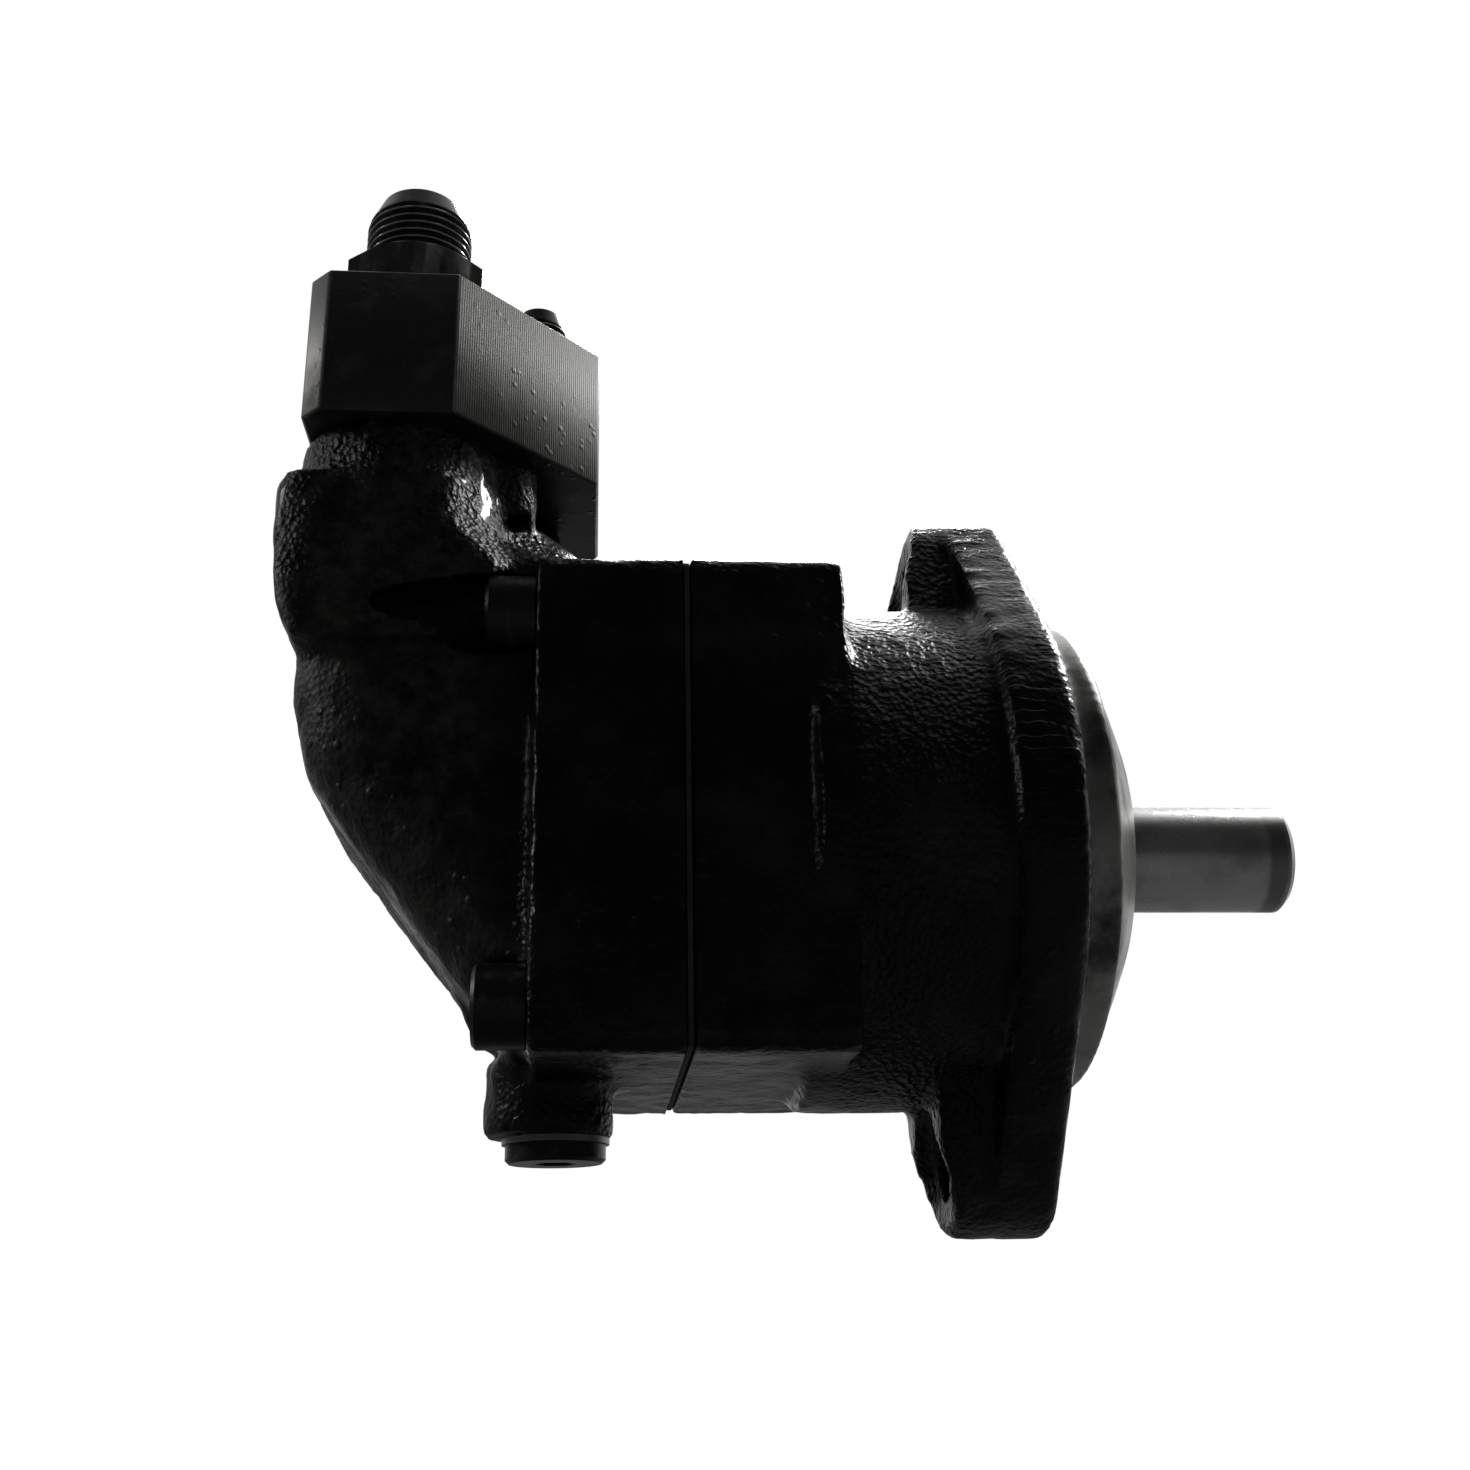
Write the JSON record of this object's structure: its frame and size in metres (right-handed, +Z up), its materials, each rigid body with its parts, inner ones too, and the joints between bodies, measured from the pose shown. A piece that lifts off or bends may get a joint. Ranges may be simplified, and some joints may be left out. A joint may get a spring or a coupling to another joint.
{
  "type": "hydraulic motor",
  "caption": "Bent-axis axial-piston hydraulic motor with a pilot mounting flange, straight shaft with a keyway, port block and flare adapters.",
  "frame": {"origin": "where the shaft axis meets the mounting face of the flange", "axes": "+X along the shaft axis towards the shaft end, +Z up towards the ports, +Y to the far side"},
  "size_m": [0.1771, 0.093, 0.185],
  "materials": {
    "cast_paint": "oily satin black paint over rough sand-cast iron",
    "block_paint": "milled steel block, thin dark paint over fine cutter lines",
    "dark_steel": "oiled dark plated steel",
    "bare_steel": "satin ground steel",
    "bearing_steel": "polished bearing steel",
    "cage_steel": "pressed steel",
    "bronze": "machined bronze",
    "seal_rubber": "black nitrile rubber",
    "gasket": "dark fibre gasket",
    "washer": "soft sealing washer"
  },
  "bodies": {
    "housing": {"bearing_housing": "cast_paint", "housing_gasket": "gasket", "barrel_housing": "cast_paint", "housing_screws": "dark_steel", "port_block": "block_paint", "block_screws": "dark_steel", "block_orings": "seal_rubber", "port_adapter_a": "dark_steel", "port_adapter_b": "dark_steel", "port_adapter_oring_a": "seal_rubber", "port_adapter_oring_b": "seal_rubber", "drain_adapter": "dark_steel", "drain_adapter_oring": "seal_rubber", "drain_plug": "dark_steel", "drain_plug_washer": "washer", "rear_bearing_cup": "bearing_steel", "front_bearing_cup": "bearing_steel", "seal_carrier": "bare_steel", "carrier_oring": "seal_rubber", "carrier_retaining_ring": "bare_steel", "shaft_seal": "seal_rubber", "valve_plate": "bronze", "plate_dowels": "bearing_steel"},
    "shaft": {"output_shaft": "bare_steel", "rear_bearing_cone": "bearing_steel", "front_bearing_cone": "bearing_steel", "bearing_spacer": "bare_steel", "bearing_nut": "bare_steel"},
    "barrel": {"cylinder_barrel": "bronze", "pistons": "bearing_steel", "piston_rings": "cage_steel", "centre_pin": "bearing_steel", "disc_springs": "bearing_steel"},
    "rear_rollers": {"rear_bearing_rollers": "bearing_steel", "rear_bearing_cage": "cage_steel"},
    "front_rollers": {"front_bearing_rollers": "bearing_steel", "front_bearing_cage": "cage_steel"}
  },
  "joints": [
    {"name": "shaft_spin", "type": "hinge", "parent": "housing", "child": "shaft", "pos_m": [0, 0, 0], "axis": [1, 0, 0], "continuous": true},
    {"name": "barrel_spin", "type": "hinge", "parent": "housing", "child": "barrel", "pos_m": [-0.058, 0, 0], "axis": [0.766, 0, -0.6428], "continuous": true},
    {"name": "rear_rollers_spin", "type": "hinge", "parent": "housing", "child": "rear_rollers", "pos_m": [-0.035, 0, 0], "axis": [1, 0, 0], "continuous": true},
    {"name": "front_rollers_spin", "type": "hinge", "parent": "housing", "child": "front_rollers", "pos_m": [-0.01, 0, 0], "axis": [1, 0, 0], "continuous": true}
  ],
  "couplings": [
    {"joint": "barrel_spin", "follows": "shaft_spin", "ratio": 1},
    {"joint": "rear_rollers_spin", "follows": "shaft_spin", "ratio": 0.431},
    {"joint": "front_rollers_spin", "follows": "shaft_spin", "ratio": 0.412}
  ]
}
